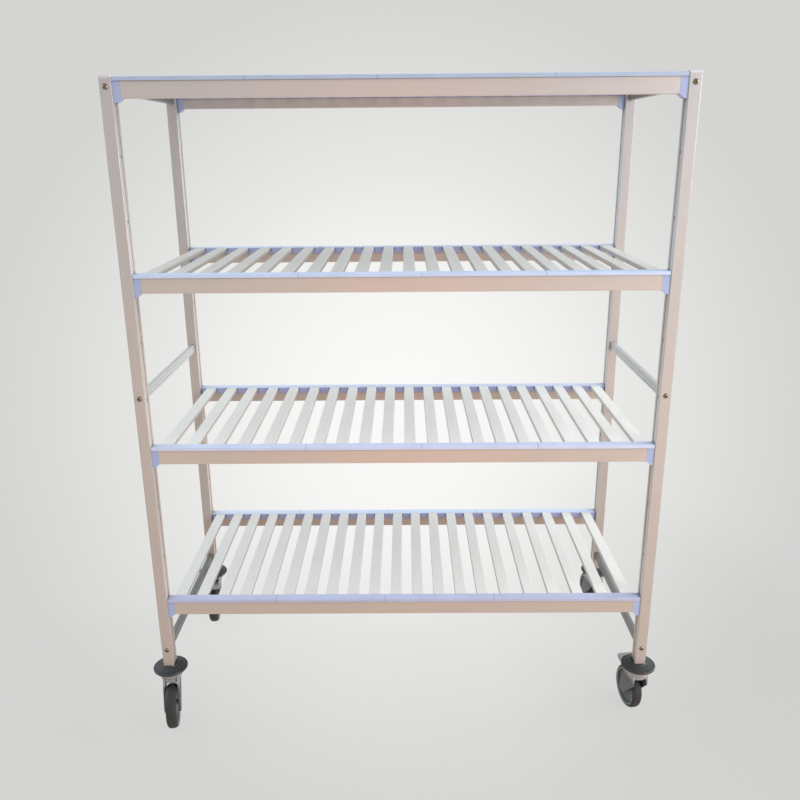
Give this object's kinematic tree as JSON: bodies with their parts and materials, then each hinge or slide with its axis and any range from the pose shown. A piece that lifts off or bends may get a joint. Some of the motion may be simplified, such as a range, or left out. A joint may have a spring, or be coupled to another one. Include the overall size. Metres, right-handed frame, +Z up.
{
  "type": "shelf trolley",
  "caption": "Tall mobile shelving trolley with an anodised frame, slatted lift-off shelf inserts in blue edge rails and swivel casters with bumper discs.",
  "frame": {"origin": "on the floor under the middle of the frame", "axes": "+X to the right seen from the front, +Y from the front to the rear, +Z up"},
  "size_m": [1.468, 0.7626, 1.7808],
  "materials": {
    "anodised_frame": "satin anodised",
    "slat": "satin anodised",
    "blue_rail": "smooth moulded",
    "connector": "smooth moulded",
    "steel": "bright zinc plated",
    "disc": "satin moulded",
    "fork": "satin moulded",
    "wheel_core": "satin moulded",
    "tyre": "smooth tread",
    "pedal": "satin moulded"
  },
  "bodies": {
    "frame": {"left_posts": "anodised_frame", "right_posts": "anodised_frame", "post_caps": "blue_rail", "front_beams": "anodised_frame", "rear_beams": "anodised_frame", "corner_connectors": "connector", "side_rails": "anodised_frame", "rail_screws": "steel", "bumper_discs": "disc", "caster_stems": "steel"},
    "tier1_insert1": {"tier1_insert1_rails": "blue_rail", "tier1_insert1_slats": "slat"},
    "tier1_insert2": {"tier1_insert2_rails": "blue_rail", "tier1_insert2_slats": "slat"},
    "tier1_insert3": {"tier1_insert3_rails": "blue_rail", "tier1_insert3_slats": "slat"},
    "tier1_insert4": {"tier1_insert4_rails": "blue_rail", "tier1_insert4_slats": "slat"},
    "tier2_insert1": {"tier2_insert1_rails": "blue_rail", "tier2_insert1_slats": "slat"},
    "tier2_insert2": {"tier2_insert2_rails": "blue_rail", "tier2_insert2_slats": "slat"},
    "tier2_insert3": {"tier2_insert3_rails": "blue_rail", "tier2_insert3_slats": "slat"},
    "tier2_insert4": {"tier2_insert4_rails": "blue_rail", "tier2_insert4_slats": "slat"},
    "tier3_insert1": {"tier3_insert1_rails": "blue_rail", "tier3_insert1_slats": "slat"},
    "tier3_insert2": {"tier3_insert2_rails": "blue_rail", "tier3_insert2_slats": "slat"},
    "tier3_insert3": {"tier3_insert3_rails": "blue_rail", "tier3_insert3_slats": "slat"},
    "tier3_insert4": {"tier3_insert4_rails": "blue_rail", "tier3_insert4_slats": "slat"},
    "tier4_insert1": {"tier4_insert1_rails": "blue_rail", "tier4_insert1_slats": "slat"},
    "tier4_insert2": {"tier4_insert2_rails": "blue_rail", "tier4_insert2_slats": "slat"},
    "tier4_insert3": {"tier4_insert3_rails": "blue_rail", "tier4_insert3_slats": "slat"},
    "tier4_insert4": {"tier4_insert4_rails": "blue_rail", "tier4_insert4_slats": "slat"},
    "caster_fl_swivel": {"caster_fl_fork": "fork", "caster_fl_axle": "steel"},
    "caster_fl_wheel": {"caster_fl_wheel_core": "wheel_core", "caster_fl_tyre": "tyre"},
    "caster_fr_swivel": {"caster_fr_fork": "fork", "caster_fr_axle": "steel"},
    "caster_fr_wheel": {"caster_fr_wheel_core": "wheel_core", "caster_fr_tyre": "tyre"},
    "caster_fr_brake": {"caster_fr_brake_pedal": "pedal"},
    "caster_rl_swivel": {"caster_rl_fork": "fork", "caster_rl_axle": "steel"},
    "caster_rl_wheel": {"caster_rl_wheel_core": "wheel_core", "caster_rl_tyre": "tyre"},
    "caster_rl_brake": {"caster_rl_brake_pedal": "pedal"},
    "caster_rr_swivel": {"caster_rr_fork": "fork", "caster_rr_axle": "steel"},
    "caster_rr_wheel": {"caster_rr_wheel_core": "wheel_core", "caster_rr_tyre": "tyre"}
  },
  "joints": [
    {"name": "tier1_insert1_lift", "type": "slide", "parent": "frame", "child": "tier1_insert1", "axis": [0, 0, 1], "range_m": [0, 0.08]},
    {"name": "tier1_insert2_lift", "type": "slide", "parent": "frame", "child": "tier1_insert2", "axis": [0, 0, 1], "range_m": [0, 0.08]},
    {"name": "tier1_insert3_lift", "type": "slide", "parent": "frame", "child": "tier1_insert3", "axis": [0, 0, 1], "range_m": [0, 0.08]},
    {"name": "tier1_insert4_lift", "type": "slide", "parent": "frame", "child": "tier1_insert4", "axis": [0, 0, 1], "range_m": [0, 0.08]},
    {"name": "tier2_insert1_lift", "type": "slide", "parent": "frame", "child": "tier2_insert1", "axis": [0, 0, 1], "range_m": [0, 0.08]},
    {"name": "tier2_insert2_lift", "type": "slide", "parent": "frame", "child": "tier2_insert2", "axis": [0, 0, 1], "range_m": [0, 0.08]},
    {"name": "tier2_insert3_lift", "type": "slide", "parent": "frame", "child": "tier2_insert3", "axis": [0, 0, 1], "range_m": [0, 0.08]},
    {"name": "tier2_insert4_lift", "type": "slide", "parent": "frame", "child": "tier2_insert4", "axis": [0, 0, 1], "range_m": [0, 0.08]},
    {"name": "tier3_insert1_lift", "type": "slide", "parent": "frame", "child": "tier3_insert1", "axis": [0, 0, 1], "range_m": [0, 0.08]},
    {"name": "tier3_insert2_lift", "type": "slide", "parent": "frame", "child": "tier3_insert2", "axis": [0, 0, 1], "range_m": [0, 0.08]},
    {"name": "tier3_insert3_lift", "type": "slide", "parent": "frame", "child": "tier3_insert3", "axis": [0, 0, 1], "range_m": [0, 0.08]},
    {"name": "tier3_insert4_lift", "type": "slide", "parent": "frame", "child": "tier3_insert4", "axis": [0, 0, 1], "range_m": [0, 0.08]},
    {"name": "tier4_insert1_lift", "type": "slide", "parent": "frame", "child": "tier4_insert1", "axis": [0, 0, 1], "range_m": [0, 0.08]},
    {"name": "tier4_insert2_lift", "type": "slide", "parent": "frame", "child": "tier4_insert2", "axis": [0, 0, 1], "range_m": [0, 0.08]},
    {"name": "tier4_insert3_lift", "type": "slide", "parent": "frame", "child": "tier4_insert3", "axis": [0, 0, 1], "range_m": [0, 0.08]},
    {"name": "tier4_insert4_lift", "type": "slide", "parent": "frame", "child": "tier4_insert4", "axis": [0, 0, 1], "range_m": [0, 0.08]},
    {"name": "caster_fl_swivel_turn", "type": "hinge", "parent": "frame", "child": "caster_fl_swivel", "pos_m": [-0.685, -0.2765, 0.1508], "axis": [0, 0, 1], "continuous": true},
    {"name": "caster_fl_wheel_spin", "type": "hinge", "parent": "caster_fl_swivel", "child": "caster_fl_wheel", "pos_m": [-0.6768, -0.31871, 0.0625], "axis": [0.9816, 0.1908, 0], "continuous": true},
    {"name": "caster_fr_swivel_turn", "type": "hinge", "parent": "frame", "child": "caster_fr_swivel", "pos_m": [0.685, -0.2765, 0.1508], "axis": [0, 0, 1], "continuous": true},
    {"name": "caster_fr_wheel_spin", "type": "hinge", "parent": "caster_fr_swivel", "child": "caster_fr_wheel", "pos_m": [0.67753, -0.23415, 0.0625], "axis": [-0.9848, -0.1736, 0], "continuous": true},
    {"name": "caster_fr_brake_press", "type": "hinge", "parent": "caster_fr_swivel", "child": "caster_fr_brake", "pos_m": [0.67858, -0.24006, 0.138], "axis": [-0.9848, -0.1736, 0], "range_deg": [0, 12]},
    {"name": "caster_rl_swivel_turn", "type": "hinge", "parent": "frame", "child": "caster_rl_swivel", "pos_m": [-0.685, 0.2765, 0.1508], "axis": [0, 0, 1], "continuous": true},
    {"name": "caster_rl_wheel_spin", "type": "hinge", "parent": "caster_rl_swivel", "child": "caster_rl_wheel", "pos_m": [-0.67902, 0.23392, 0.0625], "axis": [0.9903, 0.1392, 0], "continuous": true},
    {"name": "caster_rl_brake_press", "type": "hinge", "parent": "caster_rl_swivel", "child": "caster_rl_brake", "pos_m": [-0.67985, 0.23986, 0.138], "axis": [0.9903, 0.1392, 0], "range_deg": [0, 12]},
    {"name": "caster_rr_swivel_turn", "type": "hinge", "parent": "frame", "child": "caster_rr_swivel", "pos_m": [0.685, 0.2765, 0.1508], "axis": [0, 0, 1], "continuous": true},
    {"name": "caster_rr_wheel_spin", "type": "hinge", "parent": "caster_rr_swivel", "child": "caster_rr_wheel", "pos_m": [0.67902, 0.31908, 0.0625], "axis": [-0.9903, -0.1392, 0], "continuous": true}
  ]
}
